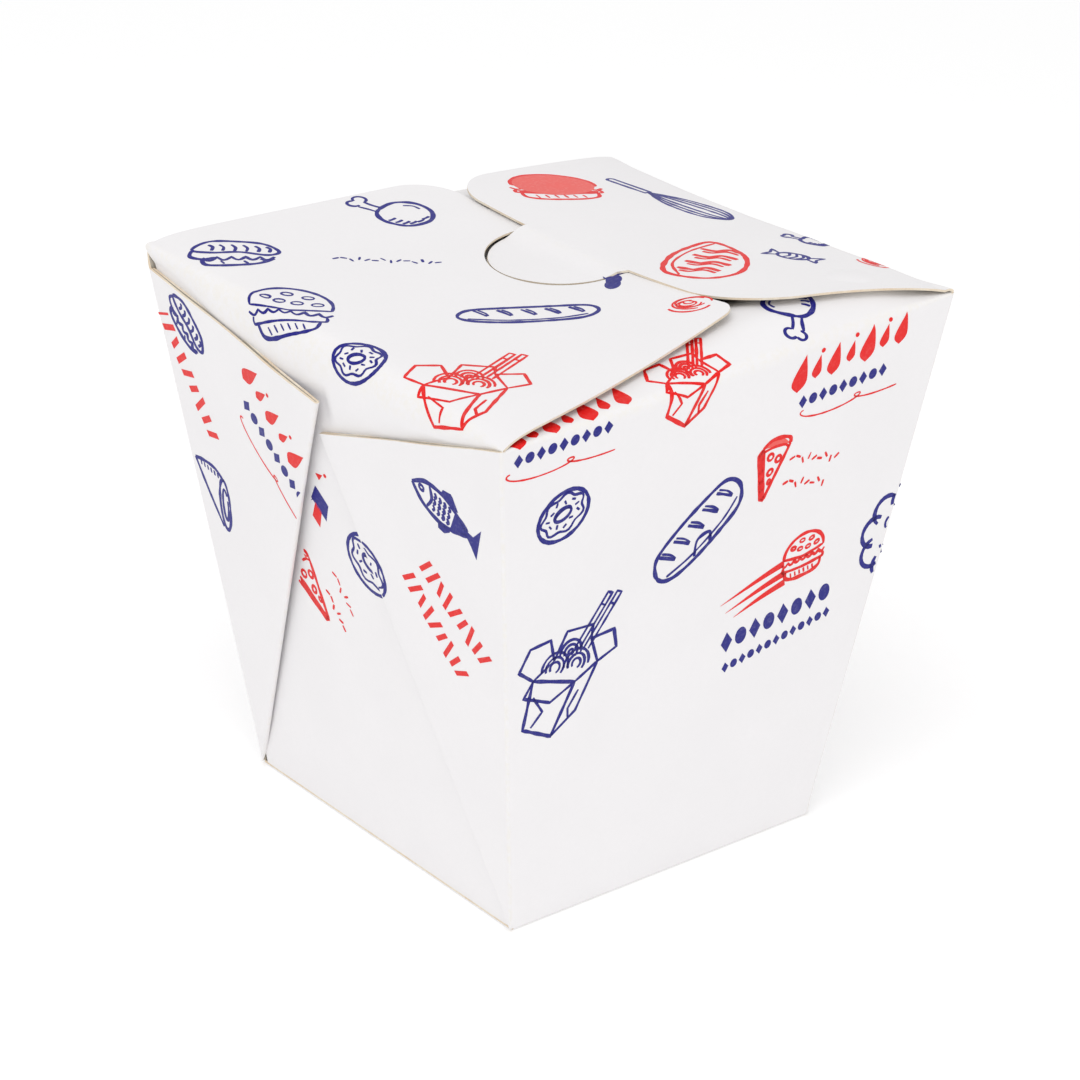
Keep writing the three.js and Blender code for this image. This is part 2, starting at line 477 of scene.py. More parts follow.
def coated_board(colours):
    """White-lined folding boxboard with a calendered clay coat: bright, soft sheen, faint mottle, and
    a dry, slightly greyer surface where a fold has cracked the coat."""
    made = new_material("clay_coated_board")
    place = add(made, "ShaderNodeTexCoord").outputs["Object"]
    cloud = ramp(made, grain(made, place, 9, 2), 0.35, 0.65)
    fibre = ramp(made, grain(made, place, 0.5, 4, 0.65), 0.3, 0.7)
    base = tuple(colours.board)
    tint = blend(made, cloud, base, shade(base, 0.985))
    tint = blend(made, ramp(made, fibre, 0, 1, 0, 0.4), tint, shade(base, 0.965))
    fold = add(made, "ShaderNodeAttribute", attribute_name="fold").outputs["Fac"]
    worn = add(made, "ShaderNodeMath", {0: fold, 1: ramp(made, grain(made, place, 0.8, 5, 0.7), 0.42, 0.6)},
               operation="MULTIPLY")
    tint = blend(made, ramp(made, worn.outputs[0], 0, 1, 0, 0.55), tint, linear("#EDE9E1"))
    rough = ramp(made, cloud, 0, 1, 0.4, 0.47)
    rough = add(made, "ShaderNodeMath", {0: rough, 1: ramp(made, worn.outputs[0], 0, 1, 0, 0.25)},
                operation="ADD").outputs[0]
    bump = add(made, "ShaderNodeBump", {"Height": fibre, "Strength": 0.12, "Distance": 0.02 * MM})
    soft = add(made, "ShaderNodeBump", {"Height": grain(made, place, 5, 1), "Strength": 0.18,
                                        "Distance": 0.12 * MM, "Normal": bump.outputs[0]})
    shader = add(made, "ShaderNodeBsdfPrincipled",
                 {"Base Color": tint, "Roughness": rough, "IOR": 1.5, "Specular IOR Level": 0.42,
                  "Normal": soft.outputs[0]})
    add(made, "ShaderNodeOutputMaterial", {"Surface": shader.outputs[0]})
    return made


def bare_board(name, colour, fleck, size, darkest):
    """Uncoated pulp: matt, flecked and fibrous, as a cut edge or the back of the board."""
    made = new_material(name)
    place = add(made, "ShaderNodeTexCoord").outputs["Object"]
    fibre = ramp(made, grain(made, place, size, 5, 0.7), 0.32, 0.66)
    patch = ramp(made, grain(made, place, 3, 2), 0.35, 0.65)
    tint = blend(made, fibre, tuple(colour), shade(tuple(colour), darkest))
    tint = blend(made, ramp(made, patch, 0, 1, 0, 0.35), tint, fleck)
    bump = add(made, "ShaderNodeBump", {"Height": fibre, "Strength": 0.35, "Distance": 0.05 * MM})
    shader = add(made, "ShaderNodeBsdfPrincipled",
                 {"Base Color": tint, "Roughness": ramp(made, fibre, 0, 1, 0.8, 0.95), "IOR": 1.45,
                  "Specular IOR Level": 0.25, "Normal": bump.outputs[0]})
    add(made, "ShaderNodeOutputMaterial", {"Surface": shader.outputs[0]})
    return made


def printing_ink(name, colour, thin):
    """Offset printing ink on a clay coat: dense colour, slightly glossier than the board, and a little
    uneven where it lies thin on the fibre."""
    made = new_material(name)
    place = add(made, "ShaderNodeTexCoord").outputs["Object"]
    speck = ramp(made, grain(made, place, 0.35, 4, 0.6), 0.5, 0.72)
    flow = ramp(made, grain(made, place, 6, 2), 0.35, 0.65)
    tint = blend(made, ramp(made, speck, 0, 1, 0, thin), tuple(colour), linear("#F4F3F2"))
    tint = blend(made, ramp(made, flow, 0, 1, 0, 0.35), tint, shade(tuple(colour), 1.15))
    bump = add(made, "ShaderNodeBump", {"Height": speck, "Strength": 0.1, "Distance": 0.01 * MM})
    shader = add(made, "ShaderNodeBsdfPrincipled",
                 {"Base Color": tint, "Roughness": ramp(made, flow, 0, 1, 0.36, 0.44), "IOR": 1.5,
                  "Specular IOR Level": 0.3, "Normal": bump.outputs[0]})
    add(made, "ShaderNodeOutputMaterial", {"Surface": shader.outputs[0]})
    return made


def materials(context):
    """The carton's materials, made once."""
    if "clay_coated_board" not in bpy.data.materials:
        colours = context.scene.carton_colours
        coated_board(colours)
        # cut_edge also colours the cells painted as shade beside the leaves' turned edges and in the slit.
        bare_board("cut_edge", colours.edge, linear("#CFA877"), 0.3, 0.86)
        bare_board("board_back", colours.back, linear("#D9CDB8"), 0.6, 0.9)
        printing_ink("red_ink", colours.red, 0.06)
        printing_ink("red_tint", colours.pale_red, 0.1)
        printing_ink("navy_ink", colours.navy, 0.06)
    return bpy.data.materials


def board_materials(context):
    made = materials(context)
    return [made["clay_coated_board"], made["cut_edge"], made["board_back"]]


# ---------------------------------------------------------------- the four folded sheets and the foot

# How far the sheets stop short of a corner, and how far round it the leaves run.
CORNER = 0.75
# The board runs in under the foot this far, at this height, and a wall's first row is so far up it.
FOOT_TUCK = 1.2
FOOT_UNDER = 0.03
WALL_START = 0.006
DUST_FLAP = 38
# A side wall's edge lies this far in behind the leaves, and a flap's edge is trimmed by this share.
SIDE_SETBACK = 1.3
FLAP_TRIM = 0.9985
# Points of the tongue's or slit's arc, and the stretch at a flap's edge where columns crowd.
ARC_STEPS = 40
CROWDED = 14
# Where the tongue's score and the tab's fold lie along X.
SCORE_X = 10.2
TAB_FOLD_X = 9.6


def foot_rows(low, under, row, count):
    """The board's fold from a wall into the foot: row 0 lies under the carton, row count on the wall."""
    corner = Vector((low.x, low.y, FOOT_UNDER))
    return bezier(under, corner, low, row / count)


def end_sheet(carton, end):
    """A plain wall with its dust flap, and the two corner leaves that fold on from its sides."""
    columns, foot_steps, wall_steps, roll_steps, flap_steps = 46, 5, 44, 10, 18
    rows = foot_steps + wall_steps + roll_steps + flap_steps
    first = -END_SLOPE * (1 - WALL_START)

    def wall_row(row, roll):
        return mix(first, -roll, row / wall_steps)

    def wall_place(column, row):
        share = (2 * column / columns - 1) * -end
        roll = carton.end_roll(share * (carton.end_half - CORNER))
        fold, over = 0.0, row - foot_steps
        if over <= wall_steps:
            w = wall_row(max(over, 0), roll)
        elif over <= wall_steps + roll_steps:
            w = mix(-roll, roll, (over - wall_steps) / roll_steps)
            fold = math.sin(math.pi * (over - wall_steps) / roll_steps)
        else:
            w = mix(roll, DUST_FLAP, (over - wall_steps - roll_steps) / flap_steps)
        width = carton.end_width(1 + min(w, 0) / END_SLOPE)
        u = share * (width / 2 - CORNER - 2.2 * smooth(w, 0, 6) - 0.12 * max(w, 0))
        point = carton.end_face(end, u, w)
        if over < 0:
            under = Vector((point.x, point.y - end * FOOT_TUCK, FOOT_UNDER))
            point = foot_rows(point, under, row, foot_steps)
            fold = 0.6
        return point, fold, 1.0

    wall = board_grid("wall", columns, rows, wall_place)

    fillet_steps, ply_steps, turn_steps = 6, 22, 10
    leaf_columns = fillet_steps + ply_steps + turn_steps + ply_steps

    def leaf_maker(side):
        def leaf_place(column, row):
            # The viewer's right is where columns run to, so a leaf at the left is made from its far ply.
            step = column if side * -end > 0 else leaf_columns - column
            roll = carton.end_roll(carton.end_half - CORNER)
            w = wall_row(row, roll) if row <= wall_steps else 0.0
            up = 1 + w / END_SLOPE
            t = min(1.0, up / LEAVES[side, end].get("top", 1))
            _, _, reach, _ = carton.leaf_ray(side, end, t)
            radius = min(carton.leaf / 2, 0.35 * reach)
            start = min(CORNER, 0.3 * reach)
            thick = min(1.0, radius / (carton.leaf / 2))
            splay = 0.35 * t ** 4
            if step <= fillet_steps:
                u = side * (carton.end_width(up) / 2 - CORNER)
                near = carton.end_face(end, u, w) if row <= wall_steps else carton.end_wall(end, u, w)
                far = carton.leaf_face(side, end, t, start)
                k = step / fillet_steps
                point = bezier(near, carton.leaf_face(side, end, t, 0), far, k)
                return point, math.sin(math.pi * k), mix(1, thick, k)
            step -= fillet_steps
            if step <= ply_steps:
                x = mix(start, reach - radius, step / ply_steps)
                return carton.leaf_face(side, end, t, x), 0.0, thick
            step -= ply_steps
            if step <= turn_steps:
                turn = math.pi * step / turn_steps
                x = reach - radius + radius * math.sin(turn)
                depth = radius * (1 - math.cos(turn))
                return carton.leaf_face(side, end, t, x, depth), math.sin(turn), thick
            step -= turn_steps
            x = mix(reach - radius, start, step / ply_steps)
            gape = splay * math.sin(math.pi * step / ply_steps)
            return carton.leaf_face(side, end, t, x, 2 * radius + gape), 0.0, thick
        return leaf_place

    # The back half of each leaf's turned edge and its inner ply are painted in the cut edge's tan: painted
    # shade and warm bounced light in the gap between the leaf and its wall.
    def gap_shade_cells_on(side):
        def gap_shade_cells(column, row):
            step = column if side * -end > 0 else leaf_columns - 1 - column
            return step >= fillet_steps + ply_steps + 0.42 * turn_steps
        return gap_shade_cells

    leaves = [board_grid("leaf", leaf_columns, wall_steps + 1, leaf_maker(side), gap_shade_cells_on(side))
              for side in (-1, 1)]
    return join("front_sheet" if end < 0 else "rear_sheet", [wall, *leaves])


def flap_columns(carton, side):
    """The columns across a flap, each with its share of the flap's half width and how far it reaches.
    They crowd at the round corners and round the slit or the tongue."""
    flap = FLAPS[side]
    tip = carton.flap_half(side, flap["length"])
    centre, radius = (SLIT_AT, carton.slit) if side < 0 else (TONGUE_AT, carton.tongue)
    arc = []
    for i in range(ARC_STEPS + 1):
        turn = math.pi * (i / ARC_STEPS - 0.5)
        x, y = centre[0] - radius * math.cos(turn), centre[1] + radius * math.sin(turn)
        arc.append(carton.flap_place(side, x, y))
    columns = []

    def straight(low, high, count):
        for i in range(count):
            across = mix(low, high, i / count)
            edge = flap["front"] if across < 0 else flap["rear"]
            into = edge - (tip - abs(across))
            cut = edge - math.sqrt(max(edge ** 2 - into ** 2, 0)) if into > 0 else 0.0
            under = 2.4 * smooth(26 - abs(across)) if side < 0 else 0.0
            columns.append((across / tip, flap["length"] - cut + under))

    def crowded(low, high, count, towards_low):
        marks = [1 - math.cos(math.pi / 2 * i / count) for i in range(count + 1)]
        marks = marks if towards_low else [1 - m for m in reversed(marks)]
        for a, b in zip(marks, marks[1:]):
            straight(mix(low, high, a), mix(low, high, b), 1)

    first, last = arc[0][1], arc[-1][1]
    crowded(-tip, -tip + CROWDED, 16, True)
    straight(-tip + CROWDED, first, 16)
    for s, y in arc:
        if side < 0:
            columns.append((y / carton.flap_half(side, s), s))
        else:
            columns.append((y / tip, s))
    straight(last + 0.02, tip - CROWDED, 12)
    crowded(tip - CROWDED, tip, 16, False)
    straight(tip, tip + 1, 1)
    made = columns[:1]
    for share, reach in columns[1:]:
        made.append((max(share, made[-1][0] + 2e-4), reach))
    return made


def tongue_height(carton, x, y):
    """The tongue's top: it bends down from its score and lies in the slit, its rear half tucked lower."""
    s, across = carton.flap_place(1, x, y)
    own = carton.flap_face(1, s, across).z
    s_below, across_below = carton.flap_place(-1, x, y)
    below = carton.flap_face(-1, s_below, across_below).z
    sunk = mix(0.05, 0.64, smooth(y, TONGUE_AT[1] - 8, TONGUE_AT[1] + 9))
    return mix(own, below - sunk, smooth(SCORE_X - x, 0, 5))


def side_sheet(carton, side):
    """A leaved wall, the soft roll at its crease, and the flap of the lid beyond it."""
    columns = flap_columns(carton, side)
    flap = FLAPS[side]
    foot_steps, wall_steps, roll_steps, flap_steps = 5, 50, 14, 44
    tongue_steps = 16 if side > 0 else 0
    rows = foot_steps + wall_steps + roll_steps + flap_steps + tongue_steps
    first = -SIDE_SLOPE * (1 - WALL_START)

    def place(column, row):
        pick = column if side > 0 else len(columns) - 1 - column
        share, reach = columns[pick]
        half = carton.side_half[side]
        below, beyond = carton.side_roll(side, share * half)
        over, fold = row - foot_steps, 0.0
        if over <= wall_steps:
            rise = max(over, 0) / wall_steps
            w = mix(first, -below, 1 - (1 - rise) ** 1.5)
        elif over <= wall_steps + roll_steps:
            k = (over - wall_steps) / roll_steps
            w, fold = mix(-below, beyond, k), math.sin(math.pi * k)
        elif over <= wall_steps + roll_steps + flap_steps:
            end = min(reach, flap["length"]) if side > 0 else reach
            w = mix(beyond, end, (over - wall_steps - roll_steps) / flap_steps)
        else:
            start = min(reach, flap["length"])
            w = mix(start, reach, (over - wall_steps - roll_steps - flap_steps) / tongue_steps)
        if w <= 0:
            width = carton.side_width(side, 1 + w / SIDE_SLOPE)
            u = share * (width / 2 - SIDE_SETBACK * smooth(-w, 0, 3))
        else:
            u = FLAP_TRIM * share * carton.flap_half(side, min(w, flap["length"]) if side > 0 else w)
        point = carton.side_face(side, u, w)
        if w > flap["length"] and side > 0:
            point.z = tongue_height(carton, point.x, point.y)
            fold = 0.5 * smooth(3 - (w - flap["length"]), 0, 3)
        if over < 0:
            under = Vector((point.x - side * FOOT_TUCK, point.y, FOOT_UNDER))
            point = foot_rows(point, under, row, foot_steps)
            fold = 0.6
        return point, fold, 1.0

    piece = board_grid("slotted_sheet" if side < 0 else "tongue_sheet", len(columns) - 1, rows, place)
    edit_all(piece, merge_doubles)
    return piece


def slot_tab(carton):
    """The half disc cut free by the slit, pressed down under the tongue."""
    columns, rows = 36, 12

    def place(column, row):
        turn = math.pi * (0.5 - column / columns)
        edge_x = SLIT_AT[0] - (carton.slit - 0.5) * math.cos(turn)
        edge_y = SLIT_AT[1] + (carton.slit - 0.5) * math.sin(turn)
        x = mix(edge_x, TAB_FOLD_X, row / rows)
        s, across = carton.flap_place(-1, x, edge_y)
        point = carton.flap_face(-1, s, across)
        point.z -= mix(0.5, 0.95, smooth(TAB_FOLD_X - x, 0, 5))
        return point, 0.0, 1.0

    # Its outermost row of cells is painted in the cut edge's tan so the slit reads as a shadowed cut edge:
    # partly the fibre's real colour, partly painted shade.
    return board_grid("slot_tab", columns, rows, place, lambda column, row: row == 0)


def foot_panel(carton):
    """The flat panel that the carton stands on, with its edges turned up behind the walls."""
    columns = rows = 26

    def spread(i, half):
        k = 2 * i / columns - 1
        return math.copysign(1 - (1 - abs(k)) ** 1.6, k) * half

    def place(column, row):
        x, y = -spread(column, carton.foot[0] / 2 - 0.3), spread(row, carton.foot[1] / 2 - 0.3)
        inner = max(abs(x) - carton.foot[0] / 2 + 1.4, abs(y) - carton.foot[1] / 2 + 1.4, 0)
        crown = 0.25 * math.cos(math.pi * x / carton.foot[0]) * math.cos(math.pi * y / carton.foot[1])
        return Vector((x, y, 0.04 + 0.25 * inner ** 2 + max(crown, 0))), 0.0, 1.0

    return board_grid("foot_panel", columns, rows, place)


# ---------------------------------------------------------------- drawing marks, on a unit square

# A drawing is a list of marks: ("line", points, weight) or ("fill", points, points), the area
# between two lines. Drawings are about two units across, with x to the right and y up.

def arc(cx, cy, rx, ry, start=0, end=360, turn=0, count=26):
    points = []
    for i in range(count + 1):
        a = math.radians(mix(start, end, i / count))
        x, y = rx * math.cos(a), ry * math.sin(a)
        c, s = math.cos(math.radians(turn)), math.sin(math.radians(turn))
        points.append((cx + x * c - y * s, cy + x * s + y * c))
    return points


def curve(*knots, closed=False, count=7):
    """A smooth line through knots."""
    knots = list(knots)
    ring = [knots[-1], *knots, knots[0], knots[1]] if closed else [knots[0], *knots, knots[-1]]
    points = []
    for a, b, c, d in zip(ring, ring[1:], ring[2:], ring[3:]):
        for i in range(count):
            t = i / count
            points.append(tuple(
                0.5 * (2 * q + (r - p) * t + (2 * p - 5 * q + 4 * r - s) * t ** 2
                       + (3 * q - p - 3 * r + s) * t ** 3)
                for p, q, r, s in zip(a, b, c, d)))
    points.append(ring[-2])
    return points


def wave(x0, y0, x1, y1, high, humps, count=6):
    points = []
    for i in range(humps * count + 1):
        t = i / (humps * count)
        points.append((mix(x0, x1, t), mix(y0, y1, t) + high * abs(math.sin(math.pi * humps * t))))
    return points


def line(*points, weight=1.0):
    return ("line", list(points), weight)


def drawn(points, weight=1.0):
    return ("line", points, weight)


def filled(low, high):
    return ("fill", low, high)


def disc(cx, cy, rx, ry, turn=0):
    return filled(arc(cx, cy, rx, ry, 180, 360, turn, 10), arc(cx, cy, rx, ry, 180, 0, turn, 10))


def burger(solid=False):
    marks = [drawn(arc(0, 0.1, 1, 0.8, -4, 184), 1.2), drawn(curve((-1, 0.05), (0, -0.1), (1, 0.05)))]
    marks += [drawn(arc(x, y, 0.13, 0.075, 0, 360, 24 * x, 10), 0.8)
              for x, y in ((-0.55, 0.42), (-0.12, 0.62), (0.36, 0.55), (-0.2, 0.28), (0.2, 0.24),
                           (0.64, 0.27))]
    marks += [drawn(wave(1.08, -0.14, -1.08, -0.14, -0.13, 7), 1.1)]
    marks += [drawn(curve((-0.98, -0.3), (-1.02, -0.42), (-0.9, -0.5), (0, -0.56), (0.9, -0.5),
                          (1.02, -0.42),
                          (0.98, -0.3)), 1.1)]
    marks += [drawn(curve((-0.9, -0.52), (-0.84, -0.8), (-0.5, -0.95), (0, -0.98), (0.5, -0.95),
                          (0.84, -0.8),
                          (0.9, -0.52)), 1.3)]
    marks += [line((x, -0.66), (x + 0.05, -0.86), weight=0.8)
              for x in (-0.6, -0.38, -0.16, 0.06, 0.28, 0.5)]
    if solid:
        marks += [("tint", arc(0, 0.1, 0.96, 0.76, 180, 360, 0, 16)[::-1],
                   arc(0, 0.1, 0.96, 0.76, 0, 180, 0, 16)),
                  filled([(-0.9, -0.5), (0, -0.56), (0.9, -0.5)],
                         [(-0.96, -0.34), (0, -0.32), (0.96, -0.34)])]
    return marks


def drumstick():
    marks = [drawn(curve((-0.22, 0.02), (-0.02, 0.46), (0.42, 0.6), (0.84, 0.36), (0.94, -0.1), (0.6, -0.5),
                         (0.12, -0.5), (-0.16, -0.28), closed=True), 1.5)]
    marks += [drawn(curve((-0.2, 0.12), (-0.42, 0.16), (-0.62, 0.24))),
              drawn(curve((-0.18, -0.12), (-0.4, -0.06), (-0.66, -0.02)))]
    marks += [drawn(arc(-0.74, 0.32, 0.15, 0.13, -30, 235), 1.1),
              drawn(arc(-0.8, 0.08, 0.14, 0.12, 110, 350), 1.1)]
    marks += [drawn(curve((x, y), (x + 0.06, y + 0.08), (x + 0.1, y + 0.18)), 1.1)
              for x, y in ((0.12, -0.42), (0.28, -0.46), (0.44, -0.46), (0.58, -0.4), (0.7, -0.26),
                           (0.76, -0.08))]
    marks += [drawn(curve((0.2, 0.4), (0.4, 0.46), (0.58, 0.38)), 0.8)]
    return marks


def toasted_sandwich():
    marks = [drawn(curve((-0.95, 0.1), (-0.6, 0.5), (0, 0.56), (0.62, 0.48), (0.96, 0.12), (0.7, -0.08),
                         (0.1, 0.02),
                         (-0.5, -0.04), closed=True), 1.3)]
    marks += [drawn(curve((-0.95, 0.06), (-0.98, -0.18), (-0.7, -0.34), (-0.4, -0.28)), 1.3)]
    marks += [drawn(wave(-0.7, -0.28, 0.86, -0.16, -0.16, 5), 1.2)]
    marks += [drawn(curve((-0.72, -0.36), (-0.6, -0.6), (-0.1, -0.66), (0.5, -0.54), (0.86, -0.26)), 1.4)]
    marks += [drawn(curve((x, 0.4 - 0.1 * abs(x)), (x + 0.1, 0.24), (x + 0.08, 0.06)), 1.1)
              for x in (-0.6, -0.36, -0.1, 0.16, 0.42, 0.66)]
    marks += [line((0.55, -0.3), (0.7, -0.42)), line((0.2, -0.42), (0.3, -0.56)),
              line((-0.3, -0.44), (-0.22, -0.58))]
    return marks


def doughnut():
    """A ring of dough seen at a slant, iced and sprinkled."""
    marks = [drawn(arc(0, 0, 0.96, 0.82), 1.3), drawn(arc(0, 0.06, 0.32, 0.2), 1.2),
             drawn(arc(0, 0.0, 0.32, 0.2, 10, 170), 0.9)]
    icing = [polar(0.78 + 0.07 * math.sin(math.radians(7 * a)), a) for a in range(0, 361, 8)]
    marks += [drawn([(x, 0.06 + 0.8 * y) for x, y in icing], 0.9)]
    for i in range(11):
        x, y = polar(0.55 + 0.07 * math.sin(2.6 * i), 33 * i)
        dx, dy = polar(0.08, 137.5 * i)
        marks.append(line((x - dx, 0.06 + 0.74 * y - dy), (x + dx, 0.06 + 0.74 * y + dy), weight=0.9))
    return marks


def long_loaf(slim=0.2, cuts=6, fat=False):
    marks = [drawn(curve((-1, -0.02), (-0.82, slim * 0.75), (-0.3, slim), (0.35, slim),
                         (0.85, slim * 0.8), (1, 0),
                         (0.8, -slim * 0.8), (0.3, -slim), (-0.4, -slim), (-0.85, -slim * 0.7),
                         closed=True), 1.4)]
    marks += [drawn(curve((-0.86, -slim * 0.45), (-0.3, -slim * 0.72), (0.4, -slim * 0.7),
                          (0.84, -slim * 0.4)), 0.8)]
    for i in range(cuts):
        x = mix(-0.7, 0.66, i / (cuts - 1))
        marks.append(drawn(curve((x - 0.07, slim * 0.72), (x + 0.03, slim * 0.3),
                                 (x + 0.12, -slim * 0.12)), 1.1))
        marks.append(drawn(curve((x, slim * 0.74), (x + 0.1, slim * 0.32), (x + 0.14, -slim * 0.08)), 0.8))
    if fat:
        marks.append(drawn(curve((-0.3, -slim * 0.9), (-0.1, -slim * 0.35), (0.14, -slim * 0.55),
                                 (0.06, -slim * 0.95)), 1.2))
    return marks


def slashed_loaf():
    marks = [drawn(curve((-1, -0.2), (-0.62, 0.4), (-0.02, 0.72), (0.6, 0.74), (1.0, 0.34),
                         (0.86, -0.36), (0.1, -0.56),
                         (-0.6, -0.44), closed=True), 1.6)]
    for i in range(4):
        x = mix(-0.62, 0.5, i / 3)
        marks.append(drawn(curve((x + 0.04, 0.42 + 0.1 * i - 0.03 * i * i), (x - 0.06, 0.2),
                                 (x + 0.1, 0.02), (x + 0.06, -0.26)), 1.9))
        marks.append(drawn(curve((x + 0.16, 0.42), (x + 0.07, 0.2), (x + 0.22, 0.0), (x + 0.2, -0.18)),
                           1.2))
    return marks + [drawn(curve((-0.94, -0.16), (-0.3, -0.38), (0.4, -0.4), (0.92, -0.1)), 0.9)]


def noodle_carton():
    marks = [line((-0.62, -0.16), (-0.5, -0.86), (0.16, -1.0), (0.3, -0.24), (-0.62, -0.16), weight=1.2)]
    marks += [line((0.3, -0.24), (0.66, 0.02), (0.52, -0.66), (0.16, -1.0), weight=1.1),
              line((-0.62, -0.16), (-0.3, 0.1), weight=0.9)]
    marks += [line((-0.62, -0.16), (-0.98, -0.02), (-0.9, 0.3), (-0.52, 0.4), (-0.3, 0.1), weight=1.1)]
    marks += [line((-0.62, -0.16), (-0.7, -0.4), (-0.1, -0.5), (0.3, -0.24))]
    marks += [line((0.66, 0.02), (0.98, 0.2), (0.8, 0.46), (0.36, 0.36), weight=1.1),
              line((0.66, 0.02), (0.36, 0.36))]
    marks += [line((-0.3, 0.1), (-0.22, 0.5), (0.3, 0.56), (0.36, 0.36))]
    for cx, cy, size in ((-0.24, 0.0, 0.27), (0.2, 0.03, 0.26), (0.0, 0.2, 0.22)):
        for i in range(3):
            out = size - 0.085 * i
            marks.append(drawn(arc(cx, cy, out, out * 0.8, 10 - 30 * i, 210 + 12 * i, -12, 12), 1.0))
    for lean in (0.0, 0.2):
        marks.append(line((0.06 + lean, 0.24), (0.4 + lean, 1.0), (0.5 + lean, 0.98),
                          (0.16 + lean, 0.22), weight=0.9))
        marks.append(line((0.34 + lean, 0.84), (0.44 + lean, 0.81), weight=0.9))
    marks += [line((-0.5, -0.4), (-0.2, -0.62), (-0.34, -0.84), weight=0.9),
              line((0.44, -0.36), (0.34, -0.62), (0.42, -0.78), weight=0.9)]
    return [(kind, [(0.78 * x, y) for x, y in points], weight) for kind, points, weight in marks]


def pizza_slice():
    left, right, tip = (-0.55, 0.62), (0.5, 0.78), (0.12, -1.0)
    marks = [line(left, tip, right, weight=1.3),
             drawn(curve(left, (-0.3, 0.88), (0.1, 0.98), (0.42, 0.96), right), 1.5)]
    marks += [drawn(curve((-0.5, 0.52), (-0.1, 0.68), (0.3, 0.74), (0.47, 0.66)), 1.0)]
    marks += [line(left, (-0.66, 0.4), (-0.02, -0.98), tip, weight=1.1)]
    marks += [drawn(arc(x, y, rx, 0.11, 0, 360, -30, 10), 1.1)
              for x, y, rx in ((-0.14, 0.36, 0.11), (0.2, 0.3, 0.1), (0.04, -0.12, 0.09))]
    marks += [drawn(arc(0.12, -0.42, 0.05, 0.08, 0, 360, 0, 8), 0.9)]
    marks += [filled([(-0.66, 0.4), (-0.02, -0.98)], [(-0.55, 0.62), (0.1, -0.98)])]
    marks += [("tint", [left, (-0.1, 0.7), (0.3, 0.76), right],
               curve(left, (-0.3, 0.86), (0.1, 0.96), right, count=4))]
    return marks


def fish():
    back = curve((-1, 0), (-0.62, 0.3), (-0.1, 0.36), (0.36, 0.2), (0.66, 0.06))
    belly = curve((-1, 0), (-0.62, -0.26), (-0.1, -0.34), (0.34, -0.22), (0.66, -0.06))
    marks = [drawn(back, 1.5), drawn(belly, 1.5), drawn(arc(-0.72, 0.06, 0.07, 0.06, 0, 360, 0, 10), 1.1)]
    marks += [drawn(curve((-0.5, 0.28), (-0.4, 0.02), (-0.5, -0.24)), 1.2)]
    marks += [drawn(curve((x, y + 0.07), (x + 0.05, y), (x, y - 0.07), count=4), 1.2)
              for x in (-0.34, -0.2, -0.06, 0.08) for y in (-0.15, 0.01, 0.17)]
    marks += [filled([(0.6, -0.04), (0.8, -0.2), (1, -0.4)], [(0.6, 0.06), (0.82, 0.06), (1, 0.38)])]
    marks += [filled([(-0.2, 0.34), (0.0, 0.35), (0.26, 0.26)], [(-0.14, 0.5), (0.1, 0.58), (0.34, 0.3)]),
              filled([(-0.12, -0.5), (0.06, -0.5), (0.2, -0.36)],
                     [(-0.16, -0.32), (0.0, -0.33), (0.22, -0.26)])]
    marks += [filled(curve((0.2, -0.24), (0.4, -0.18), (0.66, -0.06), count=4),
                     curve((0.26, 0.2), (0.42, 0.16), (0.66, 0.06), count=4))]
    return marks


def whisk():
    marks = [line((-1, 0.05), (-0.38, 0.04), (-0.38, -0.05), (-1, -0.05), weight=1.1),
             drawn(arc(-1, 0, 0.06, 0.055, 90, 270))]
    marks += [drawn(curve((-0.38, 0), (0.1, high), (0.72, high * 1.15), (1, 0), (0.72, -high * 1.15),
                          (0.1, -high), (-0.38, 0)), 1.0)
              for high in (0.05, 0.12, 0.18)]
    return marks


def sweet():
    marks = [drawn(arc(0, 0, 0.56, 0.36, 0, 360, 0, 18), 1.2)]
    for side in (-1, 1):
        marks.append(line((side * 0.52, 0.08), (side * 0.96, 0.4), (side * 0.84, 0),
                          (side * 0.98, -0.34), (side * 0.52, -0.1)))
    marks += [drawn(curve((x, 0.3), (x + 0.14, 0), (x, -0.3)), 0.9) for x in (-0.28, -0.02, 0.22)]
    return marks


def popcorn():
    marks = []
    for i in range(9):
        a = 40 * i
        x, y = polar(0.68, a)
        marks.append(drawn(arc(x, y, 0.31, 0.31, a - 105, a + 105, 0, 12), 1.6))
    for i in range(4):
        x, y = polar(0.3, 90 * i + 30)
        marks.append(drawn(arc(x, y, 0.2, 0.17, 90 * i, 90 * i + 170, 0, 10), 1.1))
    return marks


def wrap():
    """A filled pancake, rolled up and seen at its open end."""
    marks = [drawn(curve((-0.86, 0.66), (-0.4, 0.8), (0.1, 0.84), (0.5, 0.66)), 1.3),
             drawn(curve((-0.86, 0.66), (-0.3, -0.1), (0.4, -0.96)), 1.3)]
    marks += [drawn(arc(0.52, -0.14, 0.24, 0.82, 0, 360, 4), 1.3),
              drawn(arc(0.54, -0.12, 0.12, 0.5, 40, 380, 4), 1.1)]
    marks += [line((x, 0.74 + 0.05 * x), (x + 0.04, 0.6 + 0.05 * x), weight=0.9)
              for x in (-0.6, -0.44, -0.28, -0.12, 0.04, 0.2)]
    return marks


# Bands of plain shapes. Each is drawn from x = -1 to 1, with its height in the same units.

def chip_band(high=0.2, count=9):
    """A row of leaning potato chips."""
    marks = []
    for i in range(count):
        x = mix(-1, 1, (i + 0.5) / count)
        tall = high * (0.86 + 0.14 * math.sin(2.3 * i))
        lean = 0.25 * high * math.sin(1.7 * i + 0.6)
        wide = 0.42 / count
        marks.append(filled([(x - wide - lean, -tall), (x + wide - lean, -tall)],
                            [(x - wide + lean, tall), (x + wide + lean, tall)]))
    return marks


